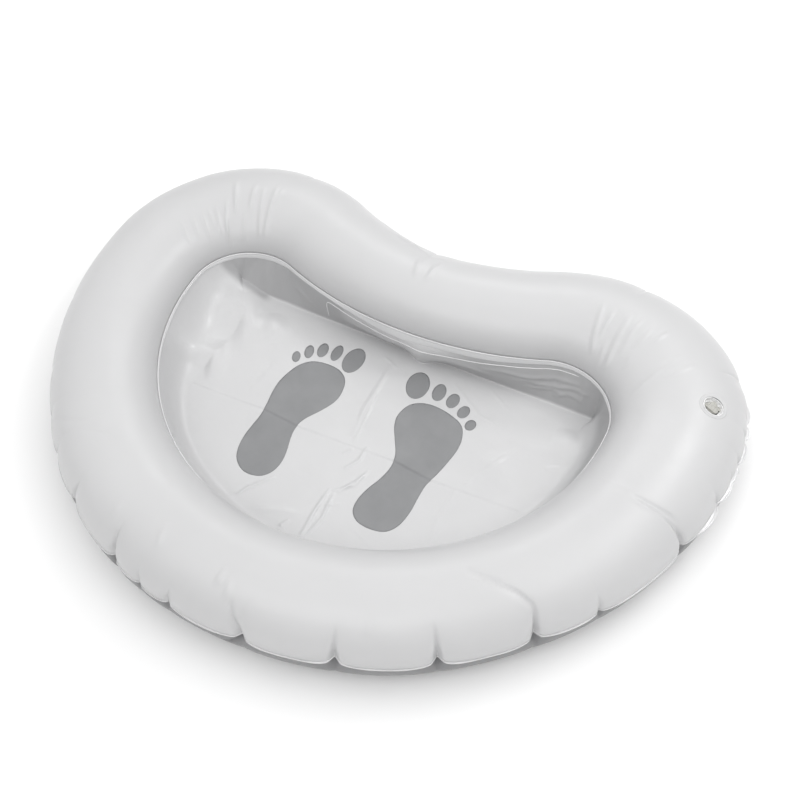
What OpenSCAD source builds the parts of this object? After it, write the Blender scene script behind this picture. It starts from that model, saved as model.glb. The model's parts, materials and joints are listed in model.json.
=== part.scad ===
// Inflatable foot basin: a kidney-shaped air ring around a soft floor with two printed feet.
// Millimetres. +X runs along the basin, +Y points at the dented back edge and +Z is up.
// The origin is the middle of the base, on the surface that the basin stands on.
// The ring is an upper and a lower film, welded together along an outer and an inner line.

/* [Air ring] */
// Length of the ring, from weld line to weld line
ring_length = 640; // [610:5:680]
// Radius of each end lobe at the outer weld line
ring_lobe_r = 152; // [146:1:158]
// Radius of the dent in the back edge at the outer weld line
ring_dent_r = 200; // [180:5:230]
// Height of the inflated ring
tube_height = 75; // [66:1:86]
// How much the ring flattens where it stands
ring_flattening = 2.5; // [1.5:0.1:4]

/* [Opening] */
// Length of the opening inside the ring
opening_length = 424; // [410:2:440]
// Radius of each end lobe of the opening
opening_lobe_r = 56; // [50:1:62]
// Radius of the dent in the back edge of the opening
opening_dent_r = 356; // [330:2:380]
// How far the opening sits forward of the ring's lobe line
opening_forward = 15; // [10:1:20]

/* [Films and welds] */
// Thickness of every film
film_t = 0.3; // [0.25:0.05:0.5]
// Width of the welded rim around the outside
outer_weld_w = 4; // [3:0.5:6]
// Depth of the welded rim that hangs round the opening
inner_weld_w = 5; // [4:0.5:7]
// Thickness of the printed ink
ink_t = 0.1; // [0.1:0.05:0.2]

/* [Valve] */
// Angle of the valve round the right lobe, from the long axis
valve_round_lobe = 13.5; // [5:0.5:30]
// Angle of the valve up the tube's section, from the outer weld
valve_up_tube = 65; // [60:1:80]
// Inner radius of the collar that the valve is pushed into
recess_r = 8.6; // [8.4:0.1:9]
// Radius of the collar's outside, which is the radius of the hole in the film
collar_r = 9.4; // [9.3:0.1:9.8]
// Radius of the upper part of the stem's bore, which the stopper closes
plug_bore_r = 3.6; // [3.5:0.1:3.8]
// Radius of the lower part of the stem's bore, which takes a pump's nozzle
nozzle_bore_r = 3.2; // [3:0.1:3.3]
// Outer radius of the stem
stem_r = 5; // [4.8:0.1:5.2]
// Length of the stem
stem_length = 8.8; // [8:0.2:10]

/* [Hidden] */

$fn = 48;
half_h = tube_height / 2;
ring_y = (ring_length / 2 - ring_lobe_r) / 2;
opening_y = ring_y - opening_forward;
two_films_t = 2 * film_t;

// Stations along each arc of an outline, and steps across half of the tube's section
front_n = 44;
lobe_n = 20;
dent_n = 16;
section_n = 12;

// Valve heights, measured along its axis from the film's outer face
collar_top = 0.6;
rim_z = -1.2;
rim_t = 0.8;
rim_r = 5.8;
web_t = 1;
web_top = -0.6;
flange_r = 11.8;
flange_top = -1.95;
flange_bottom = -2.6;
stem_end = rim_z - stem_length;
nozzle_bore_top = -5.6;
hole_reach = 8;

// Strap and flap hinges, measured from the valve's axis
strap_t = 0.6;
strap_w = 4;
strap_hinge_x = 6.2;
strap_hinge_z = rim_z + strap_t / 2;
lug_gap = 0.45;
lug_end = 7.4;
plug_gap = 0.05;
nose_length = 4;
nose_end_r = 2.6;
head_t = 1.4;
head_tip_x = -6.4;
head_tip_r = 1.6;
head_side_x = 1.5;
head_side_y = 3.6;
head_side_r = 2.6;
head_edge_x = head_side_x + head_side_r;
flap_t = 0.4;
flap_r = 4.4;
flap_gap = 0.05;
flap_hinge_x = 4.7;
flap_tab_w = 3;
flap_tab_overlap = 1;

// Printed feet, which are close to mirror images. Each sole is a loop of points that a smooth
// curve runs through, and each toe is [x, y, half width, half length, lean].
curve_steps = 6;
right_sole = [
    [56, 53.5], [72, 51], [86, 44.5], [92.5, 32], [94, 18], [91.5, 0], [88, -17],
    [84.5, -29], [84, -44], [84, -59], [81, -75], [73, -85.5], [60, -88.8], [47, -87],
    [39, -79.5], [37.3, -68], [40, -54], [45.5, -39], [48.2, -24], [46, -11],
    [38.5, 3], [31, 17], [28.6, 30], [33, 44], [43, 51.5]
];
left_sole = [
    [-58, 53.5], [-73, 50.3], [-82.5, 41], [-87.5, 28], [-89.8, 14], [-89, 0], [-86.5, -14],
    [-85.4, -27], [-86.2, -40], [-86.6, -53], [-84.6, -67], [-79.3, -78], [-70, -85.3],
    [-60, -86.8], [-50, -83.5], [-43.5, -75], [-41.5, -63], [-43.5, -50], [-47.5, -36],
    [-48.7, -25], [-46, -13], [-38, 1], [-31.5, 15], [-30, 28], [-34, 43], [-44, 51.5]
];
right_toes = [
    [30.3, 68.5, 11, 16.2, -9],
    [51.9, 69.8, 6.4, 10.4, -6],
    [67.6, 66.5, 5.9, 8.9, 0],
    [81.8, 59, 5.4, 7.6, 8],
    [93.5, 48.3, 4.9, 6.4, 8]
];
left_toes = [
    [-38.3, 68.5, 10, 16, 0],
    [-57.2, 69.5, 5.2, 10.2, -4],
    [-71.2, 66.6, 5.3, 9, -10],
    [-82.3, 59.2, 4.6, 8.2, -18],
    [-90.5, 48.3, 4.1, 6.8, -22]
];

// Points of one arc, without its last point
function arc_points(centre, r, a0, a1, n) = [
    for (i = [0:n - 1])
        let (a = a0 + (a1 - a0) * i / n)
        centre + r * [cos(a), sin(a)]
];

// Angle of each lobe's arc that is left after the dent's arc meets it, and the dent's centre
function dent_rise(length, lobe_r, dent_r) =
    sqrt(pow(dent_r + lobe_r, 2) - pow(length / 2 - lobe_r, 2));
function dent_angle(length, lobe_r, dent_r) =
    atan(dent_rise(length, lobe_r, dent_r) / (length / 2 - lobe_r));

// A smooth curve through b and c, where t runs from 0 at b to 1 at c
function curve_point(a, b, c, d, t) =
    b + t / 2 * (c - a + t * (2 * a - 5 * b + 4 * c - d + t * (3 * (b - c) + d - a)));
function smooth_loop(loop) = [
    for (i = [0:len(loop) - 1])
        let (n = len(loop))
        let (a = loop[(i + n - 1) % n])
        let (c = loop[(i + 1) % n])
        let (d = loop[(i + 2) % n])
        for (j = [0:curve_steps - 1])
            curve_point(a, loop[i], c, d, j / curve_steps)
];

// Kidney outline: a half-circle front, two lobes and a dented back, all tangent.
// grow moves the whole outline outwards by that much.
function kidney(length, lobe_r, dent_r, y, grow = 0) =
    let (front_r = length / 2)
    let (lobe_x = front_r - lobe_r)
    let (b = dent_angle(length, lobe_r, dent_r))
    concat(
        arc_points([0, y], front_r + grow, 180, 360, front_n),
        arc_points([lobe_x, y], lobe_r + grow, 0, 180 - b, lobe_n),
        arc_points([0, y + dent_rise(length, lobe_r, dent_r)], dent_r - grow, -b, b - 180, dent_n),
        arc_points([-lobe_x, y], lobe_r + grow, b, 180, lobe_n)
    );
function ring_outline(grow = 0) = kidney(ring_length, ring_lobe_r, ring_dent_r, ring_y, grow);
function opening_outline(grow = 0) =
    kidney(opening_length, opening_lobe_r, opening_dent_r, opening_y, grow);

// A point on the upper (side 1) or lower (side -1) film, inset from its outer face.
// The angle runs from the outer weld at 0 to the inner weld at 180.
function film_point(outer, inner, angle, inset, side) =
    let (half = (outer - inner) / 2)
    let (xy = inner + half + half * (1 - inset / norm(half)) * cos(angle))
    let (rise = (half_h - inset + (side < 0 ? ring_flattening : 0)) * sin(angle))
    let (z = side > 0 ? half_h + rise : max(inset, half_h - rise))
    [xy.x, xy.y, z];

// Section of one film at one station: out along its outer face and back along its inner one
function film_section(outer, inner, side) = concat(
    [for (j = [0:section_n]) film_point(outer, inner, 180 * j / section_n, 0, side)],
    [for (j = [section_n:-1:0]) film_point(outer, inner, 180 * j / section_n, film_t, side)]
);

// Triangles between two neighbouring sections of m points, turned over for the lower film
function flip(face, side) = side > 0 ? face : [face[2], face[1], face[0]];
function band_faces(n, m, side) = [
    for (i = [0:n - 1])
        for (j = [0:m - 1])
            let (a = i * m + j)
            let (b = i * m + (j + 1) % m)
            let (c = ((i + 1) % n) * m + j)
            let (d = ((i + 1) % n) * m + (j + 1) % m)
            for (face = [[a, d, b], [a, c, d]])
                flip(face, side)
];

module film(side) {
    outer = ring_outline();
    inner = opening_outline();
    n = len(outer);
    m = 2 * (section_n + 1);
    points = [
        for (i = [0:n - 1])
            for (p = film_section(outer[i], inner[i], side))
                p
    ];
    polyhedron(points = points, faces = band_faces(n, m, side), convexity = 8);
}

// Puts its children in the valve's own frame: z out of the film, x towards the outer weld
module at_valve() {
    lobe_share = valve_round_lobe / (180 - dent_angle(ring_length, ring_lobe_r, ring_dent_r));
    inner_arc = 180 - dent_angle(opening_length, opening_lobe_r, opening_dent_r);
    inner_turn = lobe_share * inner_arc;
    outer = [ring_length / 2 - ring_lobe_r, ring_y]
        + ring_lobe_r * [cos(valve_round_lobe), sin(valve_round_lobe)];
    inner = [opening_length / 2 - opening_lobe_r, opening_y]
        + opening_lobe_r * [cos(inner_turn), sin(inner_turn)];
    half = (outer - inner) / 2;
    tilt = atan(half_h * cos(valve_up_tube) / (norm(half) * sin(valve_up_tube)));
    translate(film_point(outer, inner, valve_up_tube, 0, 1))
        rotate([0, tilt, atan2(half.y, half.x)])
            children();
}

// A flat ring between two outlines
module outline_band(outside, inside, height) {
    linear_extrude(height)
        difference() {
            polygon(outside);
            polygon(inside);
        }
}

module ring_top_film() {
    color("whitesmoke")
        difference() {
            film(1);
            at_valve()
                cylinder(r = collar_r, h = 2 * hole_reach, center = true);
        }
}

module ring_bottom_film() {
    color("whitesmoke")
        film(-1);
}

// The two films fused flat outside the tube
module outer_weld() {
    color("gainsboro")
        translate([0, 0, half_h - two_films_t / 2])
            outline_band(ring_outline(outer_weld_w), ring_outline(), two_films_t);
}

// The same two films fused round the opening, where the floor's weight turns them down
module inner_weld() {
    color("gainsboro")
        translate([0, 0, half_h - inner_weld_w])
            outline_band(opening_outline(), opening_outline(-two_films_t), inner_weld_w);
}

// The floor, which rises to the inner weld as a soft wall
module floor_sheet() {
    wall_outline = opening_outline(-two_films_t);
    color("white") {
        linear_extrude(film_t)
            polygon(wall_outline);
        outline_band(wall_outline, opening_outline(-two_films_t - film_t), half_h);
    }
}

module sole_print(loop) {
    color("dimgray")
        translate([0, 0, film_t])
            linear_extrude(ink_t)
                polygon(smooth_loop(loop));
}

module toe_prints(toes) {
    color("dimgray")
        for (toe = toes)
            translate([toe[0], toe[1], film_t])
                rotate(-toe[4])
                    linear_extrude(ink_t)
                        polygon([for (a = [0:10:350]) [toe[2] * cos(a), toe[3] * sin(a)]]);
}

module left_sole_print() {
    sole_print(left_sole);
}

module left_toe_prints() {
    toe_prints(left_toes);
}

module right_sole_print() {
    sole_print(right_sole);
}

module right_toe_prints() {
    toe_prints(right_toes);
}

// Collar that lines the hole in the upper film, with the flange that is welded under the film
module valve_base() {
    color("lightgray")
        at_valve()
            rotate_extrude()
                polygon([
                    [recess_r, flange_bottom],
                    [flange_r, flange_bottom],
                    [flange_r, flange_top],
                    [collar_r, flange_top],
                    [collar_r, collar_top],
                    [recess_r, collar_top]
                ]);
}

// Soft cone that lets the stem be pushed in and pulled out
module valve_web() {
    color("lightgray")
        at_valve()
            rotate_extrude()
                polygon([
                    [recess_r, web_top],
                    [recess_r, web_top - web_t],
                    [stem_r, stem_end],
                    [stem_r, stem_end + web_t]
                ]);
}

module valve_stem() {
    color("lightgray")
        at_valve() {
            rotate_extrude()
                polygon([
                    [nozzle_bore_r, stem_end],
                    [stem_r, stem_end],
                    [stem_r, rim_z - rim_t],
                    [rim_r, rim_z - rim_t],
                    [rim_r, rim_z],
                    [plug_bore_r, rim_z],
                    [plug_bore_r, nozzle_bore_top],
                    [nozzle_bore_r, nozzle_bore_top]
                ]);
            // Lug on the rim that the stopper's strap bends from
            difference() {
                translate([0, -strap_w / 2, rim_z - rim_t])
                    cube([lug_end, strap_w, rim_t]);
                cylinder(r = (stem_r + plug_bore_r) / 2, h = 2 * stem_length, center = true);
            }
            translate([strap_hinge_x + lug_gap, -strap_w / 2, rim_z])
                cube([lug_end - strap_hinge_x - lug_gap, strap_w, strap_hinge_z - rim_z]);
        }
}

// Tapered nose that closes the bore, under a head like a plectrum with its tip as the pull tab
module stopper_plug() {
    color("silver")
        at_valve() {
            translate([0, 0, rim_z - nose_length])
                cylinder(r1 = nose_end_r, r2 = plug_bore_r - plug_gap, h = nose_length);
            translate([0, 0, rim_z])
                linear_extrude(head_t)
                    hull() {
                        translate([head_tip_x, 0])
                            circle(head_tip_r);
                        for (side = [-1, 1])
                            translate([head_side_x, head_side_y * side])
                                circle(head_side_r);
                    }
        }
}

// Strip from the stopper's head to the line where it bends beside the lug
module stopper_strap() {
    color("silver")
        at_valve() {
            translate([head_edge_x, -strap_w / 2, rim_z])
                cube([strap_hinge_x - head_edge_x, strap_w, strap_t]);
            translate([strap_hinge_x, strap_w / 2, strap_hinge_z])
                rotate([90, 0, 0])
                    cylinder(r = strap_t / 2, h = strap_w);
        }
}

// Soft disc that air from inside presses shut against the stem's end, bending at its tab
module check_flap() {
    color("lightgray")
        at_valve()
            translate([0, 0, stem_end - flap_gap - flap_t]) {
                cylinder(r = flap_r, h = flap_t);
                translate([flap_r - flap_tab_overlap, -flap_tab_w / 2, 0])
                    cube([flap_hinge_x - flap_r + flap_tab_overlap, flap_tab_w, flap_t]);
                translate([flap_hinge_x, flap_tab_w / 2, flap_t / 2])
                    rotate([90, 0, 0])
                        cylinder(r = flap_t / 2, h = flap_tab_w);
            }
}

ring_top_film();
ring_bottom_film();
outer_weld();
inner_weld();
floor_sheet();
left_sole_print();
left_toe_prints();
right_sole_print();
right_toe_prints();
valve_base();
valve_web();
valve_stem();
stopper_plug();
stopper_strap();
check_flap();
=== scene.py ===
"""Looks of the inflatable foot basin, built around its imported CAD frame. Metres, in the CAD's axes."""

import json
import math

import bpy
import numpy as np
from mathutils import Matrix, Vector
from mathutils.geometry import delaunay_2d_cdt


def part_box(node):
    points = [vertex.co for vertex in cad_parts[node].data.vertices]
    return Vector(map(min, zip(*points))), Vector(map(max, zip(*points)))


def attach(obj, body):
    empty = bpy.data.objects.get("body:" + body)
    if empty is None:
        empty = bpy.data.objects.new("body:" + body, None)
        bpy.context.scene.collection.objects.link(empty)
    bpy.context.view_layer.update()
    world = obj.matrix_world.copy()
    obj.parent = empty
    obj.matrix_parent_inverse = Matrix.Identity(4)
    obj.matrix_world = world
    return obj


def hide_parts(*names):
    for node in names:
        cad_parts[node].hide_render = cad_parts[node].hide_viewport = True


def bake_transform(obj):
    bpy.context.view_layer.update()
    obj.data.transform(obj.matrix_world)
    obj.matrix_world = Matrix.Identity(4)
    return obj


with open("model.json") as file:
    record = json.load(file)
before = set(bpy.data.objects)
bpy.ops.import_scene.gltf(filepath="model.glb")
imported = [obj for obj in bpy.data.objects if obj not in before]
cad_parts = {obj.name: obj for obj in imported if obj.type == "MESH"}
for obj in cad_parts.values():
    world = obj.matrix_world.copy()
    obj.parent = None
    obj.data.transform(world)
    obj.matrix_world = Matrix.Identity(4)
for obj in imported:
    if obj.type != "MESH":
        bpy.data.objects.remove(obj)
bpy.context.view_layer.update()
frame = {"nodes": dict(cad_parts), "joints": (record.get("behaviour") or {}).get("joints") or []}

MM = 0.001

# ---------------------------------------------------------------- sizes from the frame

FILM_LOW, FILM_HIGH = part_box("ring_top_film")
WELD_LOW, WELD_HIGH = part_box("inner_weld")
WELD_Z = FILM_LOW.z
RISE = FILM_HIGH.z - WELD_Z
RING_HALF = FILM_HIGH.x
RING_Y = FILM_LOW.y + RING_HALF
OPENING_HALF = WELD_HIGH.x
OPENING_Y = WELD_LOW.y + OPENING_HALF
BAND_DROP = WELD_HIGH.z - WELD_LOW.z

# Radii of the kidney outlines, as the CAD has them
RING_LOBE_R = 152 * MM
RING_DENT_R = 200 * MM
OPENING_LOBE_R = 56 * MM
OPENING_DENT_R = 356 * MM
FILM_T = 0.3 * MM
BASE_FLATTENING = 2.5 * MM
# Shares of the way round taken by an outline's front, right lobe, dent and left lobe
ARC_SHARES = (0.44, 0.20, 0.16, 0.20)
FRONT_END, DENT_START, DENT_END = 0.44, 0.64, 0.80

# Valve sizes in millimetres, as the CAD has them: radii, and heights from the film's outer face
HINGE_X = 6.2
HINGE_Z = -0.9
RECESS_R = 8.6
COLLAR_R = 9.4
FLANGE_R = 11.8
RIM_Z = -1.2
STEM_R = 5.0
STEM_END = -10.0
FLAP_Z = -10.25
FLAP_R = 4.4

# Mesh density
FILM_STATIONS = 900
FILM_STEPS = 52
FLOOR_STATIONS = 480
WALL_STEPS = 30
WALL_TOP_STEPS = 2
FLOOR_GRID = 2.1 * MM
FLOOR_FINE = 0.95 * MM

# ---------------------------------------------------------------- features, in millimetres

# How the air eases the outer weld line out of its nominal shape: [share of the way round, outwards]
OUTLINE_EASE = (
    (0.00, -10), (0.05, -9), (0.09, -6), (0.13, -1), (0.18, 3), (0.23, 1), (0.28, 1), (0.33, -3),
    (0.37, -2), (0.41, 0), (0.45, 4), (0.49, 7), (0.53, 5), (0.58, 1), (0.63, -4), (0.67, -1),
    (0.72, -3), (0.77, 0), (0.82, -1), (0.87, 0), (0.91, -3), (0.95, -9),
)

# Pinches of the outer weld: [x, y on the weld, how far it is pulled in, groove depth, groove half width,
# angle up the tube at which the groove ends, how far the groove leans along the weld by then]
PINCHES = (
    (-292, -20, 1.6, 1.2, 3.0, 24, 2),
    (-276, -58, 1.0, 0.6, 2.4, 18, 0),
    (-256, -95, 1.8, 1.4, 2.8, 26, 2),
    (-226, -132, 2.6, 2.0, 3.0, 34, 3),
    (-200, -163, 3.0, 2.2, 3.0, 36, 3),
    (-158, -190, 4.6, 3.2, 3.4, 48, 2),
    (-99, -221, 5.6, 4.2, 4.0, 60, -3),
    (-68, -230, 2.6, 2.0, 2.6, 32, 0),
    (-39, -234, 3.4, 2.6, 2.8, 36, 2),
    (27, -234, 5.4, 4.0, 4.2, 62, -18),
    (99, -219, 5.8, 4.4, 4.2, 52, 0),
    (167, -184, 6.0, 4.6, 4.2, 58, 0),
    (223, -133, 6.2, 4.8, 4.4, 56, 4),
    (260, -92, 3.0, 2.4, 2.8, 34, 0),
    (300, -11, 5.6, 4.4, 4.0, 66, -5),
    (316, 39, 2.2, 2.4, 4.6, 34, -2),
    (319, 66, 1.2, 1.4, 3.4, 24, 0),
    (320, 84, 1.4, 2.4, 4.4, 30, 0),
    (318, 111, 1.4, 2.4, 4.4, 32, 0),
    (313, 128, 1.2, 1.6, 3.6, 26, 0),
    (306, 158, 2.4, 1.4, 2.6, 26, 0),
    (297, 162, 2.4, 1.6, 3.4, 62, 0),
    (262, 209, 1.4, 0.8, 2.6, 20, 0),
    (196, 235, 2.4, 1.8, 4.0, 66, 0),
    (-2, 194, 3.6, 3.0, 3.6, 74, 2),
    (18, 195, 1.6, 1.4, 2.4, 36, 4),
    (-24, 196, 2.2, 1.8, 2.6, 46, -6),
    (-46, 200, 1.4, 1.0, 2.6, 36, -8),
    (-164, 236, 2.2, 1.8, 4.4, 66, 0),
    (-262, 200, 1.2, 0.6, 2.8, 18, 0),
    (-312, 118, 1.4, 0.6, 2.8, 18, 0),
)

# Widths of the flange's plain edge and of the scallops past it, at the valve's end, and the notches between
# the scallops: [x, y on the weld]
FLANGE_EDGE = 1.05
SCALLOP_W = 2.55
NOTCHES = ((302, 150), (313, 127), (318, 111), (320, 86), (320, 76), (318, 42), (311, 6))
# How far up the tube's section, in degrees, the weld's pull and its lift die away, and how much sooner than
# written a pinch's groove ends: for the upper (1) and the lower (-1) film
FILM_REACH = {1: (38, 32, 1), -1: (16, 12, 3)}
# How far the lower film swells past the weld, and the angle and half width of the swelling
LOWER_SWELL = (2.4, 38, 22)

# What the heights of the wrinkles, creases and folds below are multiplied by
TOP_GAIN, CREASE_GAIN, FOLD_GAIN = 3.3, 1.9, 2.0
# Wrinkles of the upper film, as ridges or, below zero, furrows: [height, half width, then x, y of each point]
TOP_WRINKLES = (
    (0.22, 1.7, -239, 97, -226, 84),
    (0.30, 1.7, -235, 109, -221, 95),
    (0.30, 1.6, -230, 117, -212, 101),
    (0.26, 1.7, -228, 124, -213, 113),
    (0.36, 1.7, -224, 133, -206, 111),
    (0.36, 1.8, -217, 142, -200, 113),
    (0.44, 1.9, -223, 170, -201, 133),
    (0.44, 2.0, -202, 172, -191, 142),
    (0.32, 1.8, -193, 174, -173, 128),
    (0.40, 2.0, -181, 180, -168, 129),
    (0.30, 1.8, -174, 178, -173, 157),
    (0.24, 1.6, -196, 144, -187, 119),
    (0.20, 1.6, -211, 128, -196, 108),
    (0.46, 2.0, 163, 179, 168, 145, 172, 132),
    (0.32, 1.8, 176, 173, 173, 143),
    (0.42, 1.9, 191, 178, 188, 148, 188, 121),
    (0.38, 1.9, 203, 176, 197, 157, 197, 132),
    (0.30, 1.8, 213, 169, 206, 143),
    (0.28, 1.8, 227, 168, 219, 152),
    (0.24, 2.0, 245, 149, 220, 98),
    (0.20, 2.0, 259, 143, 241, 120),
    (0.18, 1.5, 180, 141, 181, 122),
    (0.16, 1.5, 205, 140, 205, 123),
    (0.46, 1.9, -10, 152, -4, 131),
    (0.42, 1.9, 12, 159, 6, 130),
    (0.30, 1.6, 6, 152, 9, 131),
    (0.34, 1.8, -52, 184, -4, 164),
    (0.26, 1.6, -34, 168, -16, 178),
    (0.26, 1.6, 12, 168, -3, 161),
    (-0.75, 1.9, 221, -130, 218, -125, 204, -123, 184, -124, 160, -125),
    (-0.45, 1.8, 292, -9, 287, -7, 269, -8, 252, -7),
    (0.24, 1.6, 272, -12, 254, -11),
    (-0.16, 1.8, -218, -142, -196, -141, -176, -138),
    (-0.16, 1.8, -176, -144, -150, -141),
    (0.42, 1.9, 0, -203, -1, -214),
    (0.34, 1.8, 5, -206, 12, -221),
    (0.26, 1.8, -108, -201, -104, -188),
    (0.20, 2.4, -58, -208, -62, -190),
    (0.20, 2.2, 118, -199, 114, -184),
)

# Creases of the floor: [height, half width, then x, y of each point]
FLOOR_CREASES = (
    (0.9, 3.0, -3, 80, -2, 52, -2, 21, 2, -11),
    (0.7, 1.8, 0, 42, 5, 3, 7, -16),
    (0.5, 1.5, 3, -31, 10, -23),
    (0.8, 1.7, 20, -15, 20, -31, 12, -45),
    (0.9, 1.8, 33, -35, 29, -55, 14, -70),
    (0.6, 1.5, 31, -43, 17, -76),
    (1.0, 1.8, 11, -68, 10, -92, 11, -124),
    (0.9, 1.8, 16, -70, 19, -98, 14, -122),
    (0.4, 1.5, 12, -87, 28, -77),
    (0.9, 1.9, -5, -111, -9, -119, 1, -126),
    (0.7, 4.0, -41, -117, -16, -106, 3, -103),
    (0.8, 1.5, -64, -123, -54, -99, -38, -79),
    (0.35, 2.2, 141, 43, 127, 12, 114, -13),
    (0.30, 3.0, 110, -20, 108, -50, 113, -86),
    (0.45, 3.5, 205, 55, 172, 34),
    (0.25, 2.0, 60, 86, 96, 62, 128, 58),
    (0.22, 2.0, 92, 96, 120, 78),
    (-0.25, 2.5, -120, 60, -108, 26, -112, -10),
    (0.20, 2.0, 40, -92, 70, -104, 104, -98),
    (0.3, 1.8, -14, 86, 4, 78),
    (-0.3, 2.2, -96, -30, -84, -72, -88, -98),
)

# Soft folds of the floor, wider than its creases: [height, half width, then x, y of each point]
FLOOR_FOLDS = (
    (-2.2, 9.0, -190, 94, -174, 64, -164, 30),
    (2.4, 11.0, -172, 94, -150, 58, -142, 30),
    (-2.6, 9.0, -205, 52, -178, 14, -156, -20),
    (3.2, 9.0, -184, 58, -160, 12, -150, -14),
    (1.6, 12.0, -140, 86, -118, 52),
    (1.4, 14.0, 176, 84, 186, 44),
    (-1.0, 10.0, 152, 96, 158, 52),
    (0.8, 12.0, 120, 30, 150, -4),
    (0.6, 14.0, -30, 60, 30, 66),
    (-0.6, 16.0, -20, 0, 24, 12),
)

# The packing fold across the floor: its points, the height of its step, and what it is multiplied by across
# each sole: [x, half width, share]
PACKING_FOLD = (-201, -23, -157, -23, -84, -20, -46, -23, 48, -18, 86, -22, 178, -16, 190, -7)
PACKING_STEP = 1.5
PACKING_SOLES = ((64, 26, 0.6), (-62, 28, 0.4))
# The straight fold at the back, where the floor turns up, and the dip in it: [x, how far forward, half width]
BACK_FOLD_Y = 104
BACK_FOLD_ENDS = (-185, 193)
BACK_DIP = (20, 9, 13)
# How far in from the weld the floor comes down, at the front and beside each lobe
FOOT_FRONT = 22
FOOT_LEFT = 50
FOOT_RIGHT = 27
# How high the floor's left back corner is held up by the wall
CORNER_LIFT = 15
# Where the inner weld's band hangs lower at the back: [x, half width, share of its drop]
BAND_SAGS = ((88, 46, 0.75), (-4, 44, 1.3), (-165, 40, 0.4))
# How far the back wall swells inwards, and where: [depth, x, half width]
WALL_SWELL = (5.0, 40, 95)
# Wrinkles of the back wall: [height, half width, then x and depth below the weld of each point]
WALL_WRINKLES = (
    (1.3, 1.5, 78, 17, 100, 15, 124, 17, 150, 14, 172, 12),
    (1.2, 1.4, 112, 24, 122, 20, 134, 22, 150, 21, 166, 17, 184, 16),
    (1.0, 1.3, 118, 27, 132, 26, 146, 24, 160, 25),
    (1.0, 1.6, 150, 29, 164, 23, 178, 24),
    (0.9, 1.4, 52, 22, 70, 20, 92, 23),
    (0.8, 2.0, -60, 20, -30, 24, -4, 22),
    (0.8, 2.0, -128, 16, -110, 22, -96, 30),
)
# The pressed edge on the wall inside the dent: [x, depth below the weld]
BAND_EDGE = (
    (-84, 31), (-85, 18), (-85.5, 12), (-84.5, 9.4), (-81, 8.4), (-74, 8.6), (-58, 10), (-34, 13),
    (-10, 15), (22, 14.5), (53, 13), (92, 10), (129, 8), (150, 7), (168, 6),
)


# ---------------------------------------------------------------- outlines

def kidney(t, half, lobe_r, dent_r, y):
    """Points and outward normals of a kidney outline, at shares t of the way round from its left tip."""
    lobe_x = half - lobe_r
    dent_rise = math.sqrt((dent_r + lobe_r) ** 2 - lobe_x ** 2)
    b = math.atan2(dent_rise, lobe_x)
    arcs = (
        ((0, y), half, math.pi, math.tau, 1),
        ((lobe_x, y), lobe_r, 0, math.pi - b, 1),
        ((0, y + dent_rise), dent_r, -b, b - math.pi, -1),
        ((-lobe_x, y), lobe_r, b, math.pi, 1),
    )
    points, normals = np.zeros((len(t), 2)), np.zeros((len(t), 2))
    start = 0.0
    for (centre, r, a0, a1, out), share in zip(arcs, ARC_SHARES):
        here = (t >= start - 1e-12) & (t < start + share - 1e-12)
        a = a0 + (a1 - a0) * (t[here] - start) / share
        ray = np.stack([np.cos(a), np.sin(a)], 1)
        points[here] = np.array(centre) + r * ray
        normals[here] = out * ray
        start += share
    return points, normals


def ring_outline(t):
    """The outer weld line as it really lies: the kidney, eased in and out a little by the air."""
    points, normals = kidney(t, RING_HALF, RING_LOBE_R, RING_DENT_R, RING_Y)
    where, ease = np.array(OUTLINE_EASE).T
    near = (t[:, None] - where[None, :] + 0.5) % 1 - 0.5
    weight = np.exp(-(near / 0.03) ** 2)
    return points + normals * ((weight @ ease) / weight.sum(1) * MM)[:, None], normals


def opening_outline(t):
    """The inner weld line, which is the edge of the opening."""
    return kidney(t, OPENING_HALF, OPENING_LOBE_R, OPENING_DENT_R, OPENING_Y)


def smooth(x):
    """A smooth step from 0 to 1."""
    x = np.clip(x, 0, 1)
    return x * x * (3 - 2 * x)


def hump(x, middle, half_width):
    """A rounded hump of height 1."""
    return np.exp(-((x - middle) / half_width) ** 2)


# Length along the outer weld at each share of the way round
FINE_T = np.linspace(0, 1, 6001)[:-1]
FINE_OUTER = ring_outline(FINE_T)[0]
FINE_STEP = np.linalg.norm(np.roll(FINE_OUTER, -1, 0) - FINE_OUTER, axis=1)
FINE_S = np.concatenate([[0], np.cumsum(FINE_STEP)[:-1]])
ROUND = float(FINE_STEP.sum())


def arc_length(t):
    """Length along the outer weld at shares t of the way round."""
    return np.interp(t, np.append(FINE_T, 1), np.append(FINE_S, ROUND))


def along_weld(s, at):
    """Signed length round the outer weld from at to s."""
    return (s - at + ROUND / 2) % ROUND - ROUND / 2


def weld_lengths(rows):
    """Length along the outer weld at the point nearest to the x and y that start each row."""
    places = [np.array(row[:2]) * MM for row in rows]
    return [float(FINE_S[np.argmin(np.linalg.norm(FINE_OUTER - p, axis=1))]) for p in places]


PINCH_S = weld_lengths(PINCHES)
NOTCH_S = sorted(weld_lengths(NOTCHES))


def film_stations():
    """Shares of the way round, closer together at the pinches."""
    density = np.ones_like(FINE_S)
    for at in PINCH_S:
        density += 1.3 * np.exp(-(along_weld(FINE_S, at) / (9 * MM)) ** 2)
    total = np.concatenate([[0], np.cumsum(density * FINE_STEP)])
    wanted = np.linspace(0, total[-1], FILM_STATIONS + 1)[:-1]
    return np.interp(wanted, total, np.append(FINE_T, 1))


# ---------------------------------------------------------------- mesh helpers

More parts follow.
